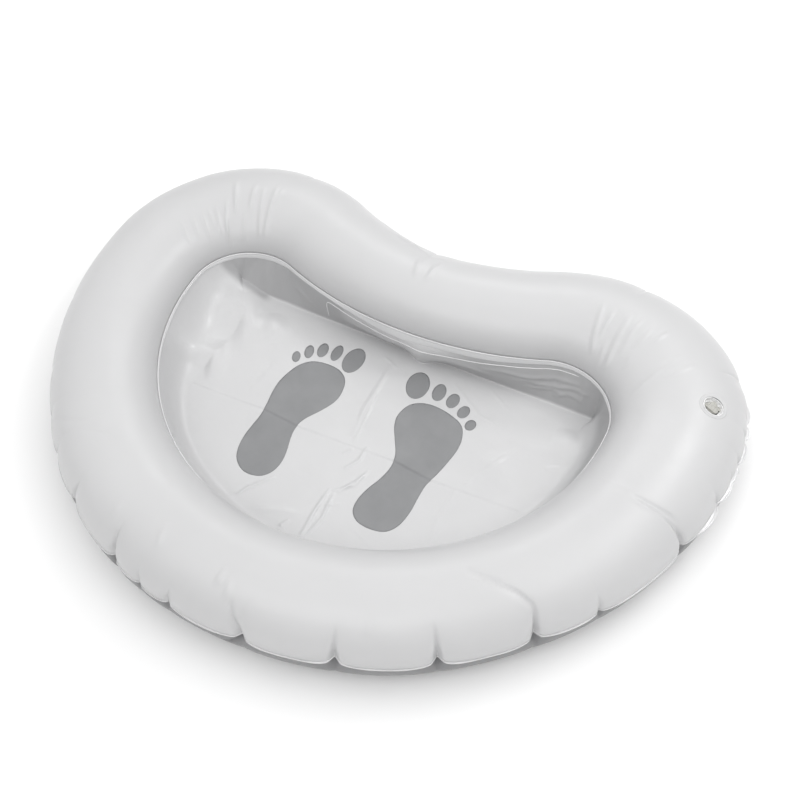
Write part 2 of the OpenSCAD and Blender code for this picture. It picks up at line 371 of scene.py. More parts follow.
def add_mesh(name, points, faces, material, body="basin"):
    """A smooth-shaded piece, which rides on a body if one is named."""
    mesh = bpy.data.meshes.new(name)
    points = np.asarray(points, float)
    faces = [tuple(map(int, f)) for f in faces]
    if volume(points, faces) < 0:
        faces = [f[::-1] for f in faces]
    mesh.from_pydata(points.tolist(), [], faces)
    mesh.materials.append(material)
    mesh.polygons.foreach_set("use_smooth", np.ones(len(mesh.polygons), bool))
    mesh.update()
    piece = bpy.data.objects.new(name, mesh)
    bpy.context.scene.collection.objects.link(piece)
    if body:
        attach(piece, body)
    return piece


def volume(points, faces):
    """Signed volume of a closed form, which is negative if its faces look inwards."""
    total = 0.0
    middle = points.mean(0)
    for size in (3, 4):
        these = np.array([f for f in faces if len(f) == size])
        for k in range(size - 2 if len(these) else 0):
            a, b, c = (points[these[:, m]] - middle for m in (0, k + 1, k + 2))
            total += float((a * np.cross(b, c)).sum())
    return total


def unit(v):
    """Vectors of length 1 in the same directions."""
    return v / np.maximum(np.linalg.norm(v, axis=-1, keepdims=True), 1e-12)


def grid_faces(n, m, wrap_m=False):
    """Quads over n stations, which close on themselves, of m points each."""
    i = np.arange(n)[:, None]
    j = np.arange(m if wrap_m else m - 1)[None, :]
    k = (i + 1) % n
    l = (j + 1) % m
    quads = np.stack(np.broadcast_arrays(i * m + j, k * m + j, k * m + l, i * m + l), -1)
    return quads.reshape(-1, 4)


def shell(points, normals, faces, rims, thickness):
    """Points and faces of a sheet with a thickness: rims are its open edges, each a loop of point numbers."""
    n = len(points)
    both = np.concatenate([points, points - normals * thickness])
    sides = [tuple(f) for f in faces] + [tuple(int(v) + n for v in reversed(f)) for f in faces]
    for rim in rims:
        for a, b in zip(rim, np.roll(rim, -1)):
            sides.append((int(b), int(a), int(a) + n, int(b) + n))
    return both, sides


def grid_normals(grid):
    """Normals of a grid whose stations close on themselves."""
    du = np.roll(grid, -1, 0) - np.roll(grid, 1, 0)
    return unit(np.cross(du, np.gradient(grid, axis=1)))


def capped_rings(rings, first, last):
    """Closed form through a row of rings of points, with a fan at each end to the first and last points."""
    n, m = rings.shape[:2]
    around = [(k, (k + 1) % m) for k in range(m)]
    faces = [(i + k, i + l, i + m + l, i + m + k) for i in range(0, (n - 1) * m, m) for k, l in around]
    end = (n - 1) * m
    for k, l in around:
        faces += [(l, k, n * m), (end + k, end + l, n * m + 1)]
    return np.concatenate([rings.reshape(-1, 3), [first, last]]), faces


def near_line(xy, line):
    """Distance of each point from a line of points in millimetres, and how far it is from the line's ends."""
    line = np.array(line, float).reshape(-1, 2) * MM
    lengths = np.linalg.norm(np.diff(line, axis=0), axis=1)
    best = np.full(len(xy), 1e9)
    share = np.zeros(len(xy))
    done = 0.0
    for a, b, length in zip(line[:-1], line[1:], lengths):
        along = np.clip((xy - a) @ (b - a) / length ** 2, 0, 1)
        away = np.linalg.norm(xy - a - along[:, None] * (b - a), axis=1)
        closer = away < best
        best[closer] = away[closer]
        share[closer] = (done + along[closer] * length) / lengths.sum()
        done += length
    return best, 4 * share * (1 - share)


def wrinkles(xy, rows, gain=1.0, taper=0.5):
    """Sum of the heights of rows of wrinkles at plan points, in metres: taper is how gently they end."""
    total = np.zeros(len(xy))
    for height, width, *line in rows:
        away, middle = near_line(xy, line)
        total += height * gain * MM * np.exp(-(away / (width * MM)) ** 2) * middle ** taper
    return total


def waves(x, seed, *lengths):
    """Gentle repeatable wandering between about -1 and 1, made of sines of the given wavelengths."""
    draw = np.random.default_rng(seed)
    total = np.zeros_like(x)
    for length in lengths:
        turns = max(1, round(ROUND / length))
        total += draw.uniform(0.6, 1) * np.sin(math.tau * turns * x / ROUND + draw.uniform(0, math.tau))
    return total / len(lengths)


# ---------------------------------------------------------------- the air ring

def weld_pull(s):
    """How far the outer weld is pulled in at length s along it, and how far it stands above its height."""
    inward = np.zeros_like(s)
    for (_, _, pull, *_), at in zip(PINCHES, PINCH_S):
        away = np.abs(along_weld(s, at)) / MM
        inward += 0.85 * pull * MM * (0.65 * np.exp(-away / 5) + 0.35 * np.exp(-away / 16))
    return inward, 0.4 * inward + 0.9 * MM * waves(s, 3, 0.4, 0.21, 0.13, 0.07)


def grooves(s, angle):
    """Depth of the pinches' grooves at length s along the weld and an angle up the tube's section."""
    depth = np.zeros(np.broadcast(s, angle).shape)
    for (_, _, _, groove, width, top, lean), at in zip(PINCHES, PINCH_S):
        share = np.clip(angle / top, 0, 1)
        away = np.abs(along_weld(s, at + lean * MM * share ** 1.5)) / (width * MM)
        fade = smooth(1 - share) ** 0.7 * (0.6 + 0.4 * smooth(angle / 11))
        crease = np.clip(1 - away / (1.25 - 0.95 * share), 0, 1)
        depth += groove * MM * fade * (1.1 * crease + 0.3 * hump(away, 0, 3))
    return depth


def valve_frame():
    """The valve's middle on the film, and its x, y and z axes, from the record."""
    joints = {j["name"]: j for j in frame["joints"]}
    z = Vector(joints["stem_slide"]["axis"]).normalized()
    y = Vector(joints["stopper_hinge"]["axis"]).normalized()
    x = y.cross(z)
    hinge = Vector(joints["stopper_hinge"]["pos_m"])
    return hinge - HINGE_X * MM * x - HINGE_Z * MM * z, x, y, z


def film_grid(t, side):
    """Outer face of the upper (side 1) or lower (side -1) film, from the outer weld to the inner one."""
    outer, out_normal = ring_outline(t)
    inner, _ = opening_outline(t)
    s = arc_length(t)
    pull, lift = weld_pull(s)
    steps = np.linspace(0, 1, FILM_STEPS + 1)
    angle = np.pi * steps ** 1.25
    degrees = np.degrees(angle)[None, :]
    half = (outer - inner) / 2
    flat_xy = (inner + half)[:, None] + half[:, None] * np.cos(angle)[None, :, None]
    pull_reach, lift_reach, sooner = FILM_REACH[side]
    near_weld = np.exp(-degrees / pull_reach)
    groove = grooves(s[:, None], sooner * degrees)
    inward = pull[:, None] * near_weld + groove * np.maximum(np.cos(angle), 0)
    flat_xy = flat_xy - out_normal[:, None] * inward[..., None]
    rise = RISE + (0 if side > 0 else BASE_FLATTENING)
    z = WELD_Z + side * (rise - groove) * np.sin(angle)[None, :]
    z += lift[:, None] * np.exp(-degrees / lift_reach)
    z += side * FILM_T * (np.exp(-degrees / 3) + np.exp((degrees - 180) / 3))
    grid = np.concatenate([flat_xy, z[..., None]], 2)

    normal = grid_normals(grid) * side
    move = 0.35 * MM * waves(s, 11 + side, 0.31, 0.19, 0.11)[:, None] * np.sin(angle)[None, :] ** 2
    move += 0.36 * MM * (near_weld - np.exp(-degrees / 7)) * smooth(pull / (0.2 * MM))[:, None]
    if side > 0:
        move += wrinkles(grid.reshape(-1, 3)[:, :2], TOP_WRINKLES, TOP_GAIN).reshape(move.shape)
        move *= valve_clearance(grid)
    else:
        depth, at, half_width = LOWER_SWELL
        move += depth * MM * hump(degrees, at, half_width)
    grid = grid + normal * move[..., None]
    if side < 0:
        grid[..., 2] = np.maximum(grid[..., 2], 0)
    return grid


def valve_clearance(grid):
    """0 where the valve's base is welded to the film, 1 away from it."""
    centre = np.array(valve_frame()[0])
    return smooth((np.linalg.norm(grid - centre, axis=2) - 13 * MM) / (12 * MM))


def film_shell(name, side, material):
    """The upper (side 1) or lower (side -1) film, with its thickness."""
    grid = film_grid(film_stations(), side)
    n, m = grid.shape[:2]
    faces = grid_faces(n, m)[:, ::side]
    normals = (grid_normals(grid) * side).reshape(-1, 3)
    rims = [(np.arange(n) * m)[::side], (np.arange(n) * m + m - 1)[::-side]]
    points, faces = shell(grid.reshape(-1, 3), normals, faces, rims, FILM_T)
    return add_mesh(name, points, faces, material)


def cut_hole(piece, centre, axis, radius, depth):
    """Cuts a round hole through a piece with a short many-sided cutter."""
    count = 96
    x = axis.orthogonal().normalized()
    y = axis.cross(x)
    turns = [math.tau * k / count for k in range(count)]
    ring = [centre + radius * (math.cos(a) * x + math.sin(a) * y) for a in turns]
    points = [p - depth * axis for p in ring] + [p + depth * axis for p in ring]
    sides = [(k, (k + 1) % count, count + (k + 1) % count, count + k) for k in range(count)]
    caps = [tuple(range(count))[::-1], tuple(range(count, 2 * count))]
    mesh = bpy.data.meshes.new("cutter")
    mesh.from_pydata([tuple(p) for p in points], [], sides + caps)
    cutter = bpy.data.objects.new("cutter", mesh)
    bpy.context.scene.collection.objects.link(cutter)
    cut = piece.modifiers.new("hole", "BOOLEAN")
    cut.operation = "DIFFERENCE"
    cut.object = cutter
    cut.solver = "EXACT"
    apply_modifiers(piece)
    bpy.data.objects.remove(cutter)


def apply_modifiers(piece):
    """Bakes a piece's modifiers into its mesh."""
    bpy.context.view_layer.update()
    made = bpy.data.meshes.new_from_object(piece.evaluated_get(bpy.context.evaluated_depsgraph_get()))
    piece.modifiers.clear()
    piece.data = made


def swept_strip(sections):
    """Closed strip round an outline, from an array of station, point round the section and x, y, z."""
    n, m = sections.shape[:2]
    return sections.reshape(-1, 3), grid_faces(n, m, wrap_m=True)


def outer_weld(material):
    """The welded rim: a thin glossy flange with a bead along it, scalloped at the valve's end."""
    t = film_stations()
    outer, normal = ring_outline(t)
    s = arc_length(t)
    pull, lift = weld_pull(s)
    swell = np.zeros_like(s)
    for start, end in zip(NOTCH_S, NOTCH_S[1:]):
        share = np.clip((s - start) / (end - start), 0, 1)
        swell += np.sqrt(np.sin(math.pi * share))
    width = (FLANGE_EDGE + 0.35 * waves(s, 5, 0.09, 0.05) + swell * SCALLOP_W) * MM
    pull = pull + grooves(s, 0.0)
    ripple = 0.4 * MM * waves(s, 7, 0.06, 0.034, 0.021) + swell * 1.2 * MM * waves(s, 9, 0.08, 0.05)
    half_t = FILM_T * 1.15
    bead = 0.28 * MM
    across = np.array([-0.12, 0.15, 0.3, 0.7, 0.88, 1.0, 0.88, 0.7, 0.3, 0.15, -0.12])
    up = np.array([1, 1.2, 0.7, 0.6, 1, 0, -1, -0.6, -0.7, -1.2, -1]) * half_t
    up[[4, 6]] += np.array([bead, -bead])
    sections = np.zeros((len(t), len(across), 3))
    reach = width[:, None] * across[None, :] - pull[:, None]
    sections[..., :2] = outer[:, None] + normal[:, None] * reach[..., None]
    bend = np.clip(across, 0, 1)[None, :] ** 1.4
    sections[..., 2] = WELD_Z + lift[:, None] + ripple[:, None] * bend + up[None, :]
    points, faces = swept_strip(sections)
    return add_mesh("outer_weld_flange", points, faces, material)


def band_drop(t):
    """How far the inner weld's band hangs at each share of the way round."""
    x = opening_outline(t)[0][:, 0] / MM
    rear = smooth((t - 0.46) / 0.08) * smooth((0.99 - t) / 0.06)
    sag = sum(share * hump(x, at, half_width) for at, half_width, share in BAND_SAGS)
    return BAND_DROP * (0.75 + rear * sag)


def inner_weld(material):
    """The weld round the opening: a bead along its top and a band that hangs from it."""
    t = np.linspace(0, 1, FILM_STATIONS + 1)[:-1]
    edge, normal = opening_outline(t)
    s = arc_length(t)
    drop = band_drop(t) + 0.25 * MM * waves(s, 21, 0.05, 0.03, 0.017)
    swing = 0.4 * MM * waves(s, 22, 0.16, 0.09)
    bead_r, middle = 0.75, -0.525
    arc = np.linspace(-0.15 * math.pi, 1.15 * math.pi, 9)
    bead = [(middle + bead_r * math.cos(a), bead_r * 0.9 * math.sin(a), 0.0) for a in arc]
    # Each point: how far out, how high, and its share of the band's drop
    down = [(-1.05, -1.2, 0), (-1.15, 0, 0.3), (-1.15, 0, 0.65), (-1.15, 0, 0.93), (-1.0, 0, 1)]
    up = [(-0.3, 0, 1), (-0.1, 0, 0.93), (0.1, 0, 0.6), (0.1, 0, 0.3), (0.1, -1.2, 0)]
    loop = np.array(bead + down + up) * (MM, MM, 1)
    sections = np.zeros((len(t), len(loop), 3))
    reach = loop[None, :, 0] + (swing[:, None] - 0.10 * drop[:, None]) * loop[None, :, 2]
    sections[..., :2] = edge[:, None] + normal[:, None] * reach[..., None]
    sections[..., 2] = WELD_Z + loop[None, :, 1] - drop[:, None] * loop[None, :, 2]
    points, faces = swept_strip(sections)
    return add_mesh("inner_weld_band", points, faces, material)


# ---------------------------------------------------------------- the floor

def floor_height(xy):
    """Height of the floor sheet's upper face where it lies on the ground."""
    creased = wrinkles(xy, FLOOR_CREASES, CREASE_GAIN) + wrinkles(xy, FLOOR_FOLDS, FOLD_GAIN, 1.0)
    x, y = (xy / MM).T
    line = np.array(PACKING_FOLD, float).reshape(-1, 2)
    past = y - np.interp(x, line[:, 0], line[:, 1])
    ends = smooth((x + 205) / 25) * smooth((192 - x) / 30)
    step = smooth(past / 1.2 + 0.5) * np.exp(-np.maximum(past, 0) / 34)
    uneven = 0.45 + sum(share * hump(x, at, half_width) for at, half_width, share in PACKING_SOLES)
    z = (PACKING_STEP * step * uneven + 0.3 * hump(past, 0, 9)) * ends
    ripple = np.sin(x / 17 + 1.3 * np.sin(y / 23)) * np.sin(y / 14 + 1.1 * np.sin(x / 29) + 0.7)
    z += 0.16 * ripple + CORNER_LIFT * smooth((-x - 140) / 55) * smooth((y - 30) / 75)
    z = creased + z * MM
    return 0.5 * (z + np.sqrt(z ** 2 + (0.5 * MM) ** 2))


def floor_foot(t):
    """Where the floor sheet comes down to the ground, for each station of the inner weld, and how far behind
    the basin the station is, from 0 to 1."""
    edge, normal = opening_outline(t)
    x, y = (edge / MM).T
    beside = smooth((np.abs(x) - 150) / 60) * smooth((y + 60) / 90)
    foot_beside = np.where(x < 0, FOOT_LEFT, FOOT_RIGHT)
    inset = FOOT_FRONT + (foot_beside - FOOT_FRONT) * beside + 1.6 * waves(arc_length(t), 31, 0.35, 0.2)
    foot = edge - normal * (inset * MM)[:, None]
    back_x = np.clip(x, *BACK_FOLD_ENDS)
    dip_x, dip_depth, dip_half = BACK_DIP
    back_y = BACK_FOLD_Y - dip_depth * hump(back_x, dip_x, dip_half)
    lobe_x = (OPENING_HALF - OPENING_LOBE_R) / MM
    lobe_angle = np.degrees(np.arctan2(y - OPENING_Y / MM, np.abs(x) - lobe_x))
    behind = smooth((lobe_angle - 12) / 38)
    behind[(t >= DENT_START) & (t < DENT_END)] = 1
    behind[t < FRONT_END] = 0
    foot += (np.stack([back_x, back_y], 1) * MM - foot) * behind[:, None]
    return foot, behind


def wall_grid(t):
    """The part of the floor sheet that rises to the inner weld, from its top edge to its foot."""
    edge, normal = opening_outline(t)
    foot, behind = floor_foot(t)
    drop = band_drop(t)
    s = arc_length(t)
    v = np.linspace(0, 1, WALL_STEPS + 1)[None, :, None]
    hem = np.concatenate([edge - normal * 0.9 * MM, np.full((len(t), 1), WELD_Z - 1.5 * MM)], 1)
    under = hem.copy()
    under[:, :2] -= normal * (0.10 * drop)[:, None] * 0.6
    under[:, 2] = WELD_Z - 0.85 * drop
    ground = np.concatenate([foot, floor_height(foot)[:, None] + FILM_T], 1)
    start = WALL_TOP_STEPS / WALL_STEPS
    top = hem[:, None] + (under - hem)[:, None] * np.clip(v / start, 0, 1)
    u = np.clip((v - start) / (1 - start), 0, 1)
    blend = behind[:, None, None]
    low = under[:, None] + (ground - under)[:, None] * u
    fall = (1 - blend) * (1 - (1 - u) ** 2.8) + blend * u
    low[..., 2:] = under[:, None, 2:] + (ground - under)[:, None, 2:] * fall
    grid = np.where(v <= start, top, low)
    belly = np.sin(np.pi * u[..., 0] ** 0.8) * behind[:, None]
    slack = 1.2 * waves(s, 41, 0.12, 0.07) + 0.6 * waves(s, 42, 0.05, 0.033)
    depth, at, half_width = WALL_SWELL
    swell = depth * hump(edge[:, 0] / MM, at, half_width)
    grid[..., 1] += belly * (slack - swell)[:, None] * MM
    down = WELD_Z - grid[..., 2]
    on_wall = np.stack([np.broadcast_to(edge[:, :1], down.shape), down], 2).reshape(-1, 2)
    grid[..., 1] -= wrinkles(on_wall, WALL_WRINKLES).reshape(down.shape) * behind[:, None]
    return grid


def band_path(wall):
    """Points on the wall along the pressed band's edge, and how far along it each lies, in millimetres."""
    n = len(wall)
    rear = np.arange(int(0.58 * n), int(0.86 * n))[::-1]
    knots = np.array(BAND_EDGE, float)
    along = np.concatenate([[0], np.cumsum(np.linalg.norm(np.diff(knots, axis=0), axis=1))])
    steps = np.linspace(0, along[-1], int(along[-1] / 1.5))
    x = np.interp(steps, along, knots[:, 0]) * MM
    depth = np.interp(steps, along, knots[:, 1]) * MM
    path = []
    for station, down in zip(np.interp(x, wall[rear, 0, 0], rear), depth):
        column = wall[int(round(station))]
        path.append([np.interp(down - WELD_Z, -column[:, 2], column[:, axis]) for axis in range(3)])
    path = np.array(path)
    path[:, 0] = x
    for _ in range(3):
        path[1:-1] = (path[:-2] + 2 * path[1:-1] + path[2:]) / 4
    return path, steps


def band_edge(wall, material):
    """The raised line that the pressed band leaves on the wall, as a thin closed cord on its face."""
    path, steps = band_path(wall)
    ahead = unit(np.gradient(path, axis=0))
    side = unit(np.cross(ahead, [0, -0.7, 0.7]))
    up = np.cross(side, ahead)
    radius = 0.55 * MM * np.sqrt(np.clip(np.minimum(steps, steps[-1] - steps) / 6, 0.05, 1))
    a = np.linspace(0, math.tau, 9)[:-1]
    around = np.cos(a)[None, :, None] * side[:, None] + np.sin(a)[None, :, None] * up[:, None]
    rings = path[:, None] + around * radius[:, None, None]
    line = add_mesh("wall_band_edge", *capped_rings(rings, path[0], path[-1]), material)


def cad_outlines(node):
    """Closed outlines of a print's upper face in the CAD, in plan."""
    mesh = frame["nodes"][node].data
    top = max(v.co.z for v in mesh.vertices) - 1e-5
    key = {v.index: (round(v.co.x, 7), round(v.co.y, 7)) for v in mesh.vertices}
    used = {}
    for face in mesh.polygons:
        ids = list(face.vertices)
        if min(mesh.vertices[i].co.z for i in ids) < top:
            continue
        for a, b in zip(ids, ids[1:] + ids[:1]):
            used[(key[a], key[b])] = True
    follow = {a: b for a, b in used if (b, a) not in used}
    loops = []
    while follow:
        start = at = next(iter(follow))
        loop = []
        while at in follow:
            loop.append(at)
            at = follow.pop(at)
        if at == start:
            loops.append(np.array(loop))
    return loops


def inside(points, polygon):
    """True for the points within a closed outline."""
    x, y = points[:, 0], points[:, 1]
    within = np.zeros(len(points), bool)
    for a, b in zip(polygon, np.roll(polygon, -1, 0)):
        crosses = (a[1] > y) != (b[1] > y)
        if a[1] != b[1]:
            within ^= crosses & (x < (b[0] - a[0]) * (y - a[1]) / (b[1] - a[1]) + a[0])
    return within


def hex_points(low, high, step):
    """Plan points at the corners of equal triangles."""
    rows = []
    for k, y in enumerate(np.arange(low[1], high[1], step * math.sqrt(0.75))):
        x = np.arange(low[0] + (k % 2) * step / 2, high[0], step)
        rows.append(np.stack([x, np.full_like(x, y)], 1))
    return np.concatenate(rows)


def near_crease(points):
    """True where the floor needs a finer mesh, close to its creases and its packing fold."""
    near = near_line(points, PACKING_FOLD)[0] < 2.6 * MM
    for _, width, *line in FLOOR_CREASES:
        near |= near_line(points, line)[0] < (1.2 + width) * MM
    return near


def floor_grid(loops):
    """Plan points within the first loop, finer along the creases and clear of every loop."""
    rim = loops[0]
    coarse = hex_points(rim.min(0), rim.max(0), FLOOR_GRID)
    fine = hex_points(rim.min(0), rim.max(0), FLOOR_FINE)
    grid = np.concatenate([coarse[~near_crease(coarse)], fine[near_crease(fine)]])
    grid = grid[inside(grid, rim)]
    for loop in loops:
        middles = np.concatenate([loop, (loop + np.roll(loop, -1, 0)) / 2])
        low, high = loop.min(0) - 2 * MM, loop.max(0) + 2 * MM
        close = np.where(((grid > low) & (grid < high)).all(1))[0]
        away = np.linalg.norm(grid[close][:, None] - middles[None], axis=2).min(1)
        grid = np.delete(grid, close[away < 0.7 * FLOOR_FINE], 0)
    return grid


def floor_triangles(loops):
    """Plan points and triangles that fill the first loop and have every loop among their edges, and which
    point each of the first loop's points became."""
    edges = []
    start = 0
    for loop in loops:
        count = len(loop)
        edges += [(start + k, start + (k + 1) % count) for k in range(count)]
        start += count
    flat = np.concatenate(loops + [floor_grid(loops)])
    made = delaunay_2d_cdt([Vector(p) for p in flat.tolist()], edges, [], 0, 1e-7)
    points = np.array([tuple(p) for p in made[0]])
    triangles = np.array([f for f in made[2] if len(f) == 3])
    triangles = triangles[inside(points[triangles].mean(1), loops[0])]
    a, b, c = (points[triangles[:, k]] for k in range(3))
    flipped = (b - a)[:, 0] * (c - a)[:, 1] - (b - a)[:, 1] * (c - a)[:, 0] < 0
    triangles[flipped] = triangles[flipped][:, ::-1]
    rim_of = {source: k for k, sources in enumerate(made[3]) for source in sources if source < len(loops[0])}
    return points, triangles, rim_of


def floor_sheet(wall, flat_points, triangles, rim_of, material):
    """The wall and the sheet on the ground as one shell. The wall's lowest points take the sheet's height."""
    n, m = wall.shape[:2]
    wall_points = wall.reshape(-1, 3)
    number = np.arange(len(flat_points)) + n * m
    for k in range(n):
        number[rim_of[k]] = k * m + m - 1
        wall_points[k * m + m - 1, 2] = flat_points[rim_of[k], 2]
    points = np.concatenate([wall_points, flat_points])
    faces = [tuple(f) for f in grid_faces(n, m)] + [tuple(f) for f in number[triangles]]
    kept, faces = drop_unused(points, faces)
    both, sides = shell(kept, point_normals(kept, faces), faces, [np.arange(n) * m], FILM_T)
    both[:, 2] = np.maximum(both[:, 2], 0)
    sheet = add_mesh("floor_sheet_film", both, sides, material)
    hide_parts("floor_sheet")


def floor_and_prints(film, ink, edge_film):
    """The floor sheet, the line pressed on its wall, and each print as a thin layer over its triangles."""
    wall = wall_grid(np.linspace(0, 1, FLOOR_STATIONS + 1)[:-1])
    prints = {name: cad_outlines(name) for name in frame["nodes"] if name.endswith(("_print", "_prints"))}
    loops = [wall[:, -1, :2]] + [loop for outlines in prints.values() for loop in outlines]
    plan, triangles, rim_of = floor_triangles(loops)
    heights = np.maximum(floor_height(plan), 0.02 * MM) + FILM_T
    flat_points = np.concatenate([plan, heights[:, None]], 1)
    floor_sheet(wall, flat_points, triangles, rim_of, film)
    band_edge(wall, edge_film)

    normals = point_normals(flat_points, [tuple(f) for f in triangles])
    middles = plan[triangles].mean(1)
    for name, outlines in prints.items():
        chosen = np.zeros(len(triangles), bool)
        for loop in outlines:
            chosen |= inside(middles, loop)
        add_print(name, flat_points, normals, triangles[chosen], ink)


def drop_unused(points, faces):
    """The points that some face uses, and the faces with the numbers they then have."""
    used = np.unique(np.concatenate([np.array(f) for f in faces]))
    renumber = np.zeros(len(points), int)
    renumber[used] = np.arange(len(used))
    return points[used], [tuple(renumber[list(f)]) for f in faces]


def point_normals(points, faces):
    """Normals at each point, from the faces around it."""
    total = np.zeros_like(points)
    for size in (3, 4):
        these = np.array([f for f in faces if len(f) == size], int).reshape(-1, size)
        corner = points[these]
        # A triangle's first edge and its last corner's, or a quad's two diagonals
        across = np.cross(corner[:, size - 2] - corner[:, 0], corner[:, size - 1] - corner[:, size - 3])
        for k in range(size):
            np.add.at(total, these[:, k], across)
    return unit(total)


def add_print(name, points, normals, triangles, ink):
    """Ink as a closed layer: its lower face lies on the film and its upper face a hair above."""
    used, faces = drop_unused(points, [tuple(f) for f in triangles])
    lifts, _ = drop_unused(normals, [tuple(f) for f in triangles])
    edges = dict.fromkeys((a, b) for f in faces for a, b in zip(f, f[1:] + f[:1]))
    n = len(used)
    ink_t = 0.1 * MM
    both = np.concatenate([used + lifts * ink_t, used + lifts * 0.01 * MM])
    sides = list(faces) + [tuple(v + n for v in reversed(f)) for f in faces]
    sides += [(b, a, a + n, b + n) for a, b in edges if (b, a) not in edges]
    layer = add_mesh(name + "_ink", both, sides, ink)
    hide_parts(name)


# ---------------------------------------------------------------- the valve

def place(points):
    """Points from the valve's own frame, in millimetres, into the basin's."""
    origin, x, y, z = VALVE
    axes = np.array([x, y, z]) * MM
    return np.asarray(points, float) @ axes + np.array(origin)


def lathe(profile, count=96):
    """Closed ring turned from a closed profile of radius and height, in the valve's frame."""
    a = np.linspace(0, math.tau, count + 1)[:-1]
    r, z = np.array(profile, float).T[:, None]
    rings = np.stack([r * np.cos(a)[:, None], r * np.sin(a)[:, None], z + 0 * a[:, None]], 2)
    return rings.reshape(-1, 3), grid_faces(count, len(profile), wrap_m=True)


def rounded(profile, radius, steps=4):
    """A closed profile with each corner cut to a round of at most that radius."""
    made = []
    points = np.array(profile, float)
    for before, here, after in zip(np.roll(points, 1, 0), points, np.roll(points, -1, 0)):
        to_before, to_after = before - here, after - here
        reach = min(radius, 0.45 * np.linalg.norm(to_before), 0.45 * np.linalg.norm(to_after))
        start = here + unit(to_before) * reach
        end = here + unit(to_after) * reach
        for k in range(steps + 1):
            u = k / steps
            made.append((1 - u) ** 2 * start + 2 * u * (1 - u) * here + u ** 2 * end)
    return made


def turned(name, material, body, profile, radius):
    """A turned piece of the valve with rounded edges."""
    points, faces = lathe(rounded(profile, radius))
    return add_mesh(name, place(points), faces, material, body)


def hull_outline(circles, count=96):
    """Outline round a few circles, each x, y and radius, and its outward normals."""
    a = np.linspace(0, math.tau, count + 1)[:-1]
    out = np.stack([np.cos(a), np.sin(a)], 1)
    circles = np.array(circles, float)
    reach = out @ circles[:, :2].T + circles[:, 2]
    best = reach.argmax(1)
    return circles[best, :2] + circles[best, 2:] * out, out


def pad(outline, normals, levels):
    """Closed form over an outline: levels are pairs of inset and height, from the underside to the top."""
    rings = [np.c_[outline - normals * inset, np.full(len(outline), z)] for inset, z in levels]
    middle = outline.mean(0)
    return capped_rings(np.array(rings), [*middle, levels[0][1]], [*middle, levels[-1][1]])


def joined(*parts):
    """Several closed forms as the points and faces of one mesh."""
    points, faces, start = [], [], 0
    for some_points, some_faces in parts:
        points.append(np.asarray(some_points, float))
        faces += [tuple(int(v) + start for v in f) for f in some_faces]
        start += len(some_points)
    return np.concatenate(points), faces


def bevelled(bottom, top, edge):
    """Levels of a pad with rounded edges."""
    turns = np.linspace(0, math.pi / 2, 5)
    round_up = [(edge * (1 - math.sin(a)), bottom + edge * (1 - math.cos(a))) for a in turns]
    round_in = [(edge * (1 - math.cos(a)), top - edge * (1 - math.sin(a))) for a in turns]
    return round_up + round_in


def strip_outline(x0, x1, half_w):
    """A strip along the valve's x axis with small round corners."""
    r = 0.3
    corners = [(x, y, r) for x in (x0 + r, x1 - r) for y in (r - half_w, half_w - r)]
    return hull_outline(corners, 48)


def valve_base(material):
    """The collar that lines the hole, with the flange that is welded under the film."""
    profile = [
        (RECESS_R, -2.6), (FLANGE_R, -2.6), (FLANGE_R, -1.95),
        (COLLAR_R, -1.95), (COLLAR_R, 0.6), (RECESS_R, 0.6),
    ]
    piece = turned("valve_base_collar", material, "basin", profile, 0.3)
    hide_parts("valve_base")


def valve_weld(film, material):
    """The round weld that holds the base's flange under the film, pressed into a low raised ring."""
    origin, x, y, z = VALVE
    profile = [
        (9.45, 0.05), (9.9, 0.12), (10.6, 0.12), (11.1, 0.16),
        (11.5, 0.34), (11.9, 0.34), (12.3, 0.16), (12.6, 0.02),
    ]
    count = 120
    film_edge = COLLAR_R + 0.3
    upper = []
    for k in range(count):
        a = math.tau * k / count
        out = math.cos(a) * x + math.sin(a) * y
        for r, height in profile:
            start = origin + out * (max(r, film_edge) * MM) + z * (8 * MM)
            hit = film.ray_cast(start, -z)
            under = (hit[1] - origin).dot(z) if hit[0] else 0
            upper.append(tuple(origin + out * (r * MM) + z * (under + height * MM)))
    m = len(profile)
    upper = np.array(upper)
    lower = upper - np.array(z) * 0.2 * MM
    lower[m - 1::m] = upper[m - 1::m] - np.array(z) * 0.1 * MM
    grid = np.concatenate([upper.reshape(count, m, 3), lower.reshape(count, m, 3)[:, ::-1]], 1)
    ring = add_mesh("valve_weld_ring", grid.reshape(-1, 3), grid_faces(count, 2 * m, wrap_m=True), material)


def valve_web(material):
    """The soft web: a shallow ledge below the rim, then a cone down to the stem's foot."""
    upper = [
        (8.6, -0.5), (8.45, -1.5), (8.2, -2.1), (7.8, -2.35), (7.4, -2.3), (7.0, -2.35), (6.7, -2.6),
        (6.55, -3.2), (6.45, -4.0), (6.25, -5.0), (5.95, -6.2), (5.5, -7.3), (5.1, -8.2), (5.0, -8.5),
    ]
    lower = [(r + 0.1, z - 0.6) for r, z in upper][::-1]
    points, faces = lathe(upper + lower)
    piece = add_mesh("valve_web_cone", place(points), faces[:, ::-1], material, body=None)
    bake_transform(piece)
    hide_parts("valve_web")


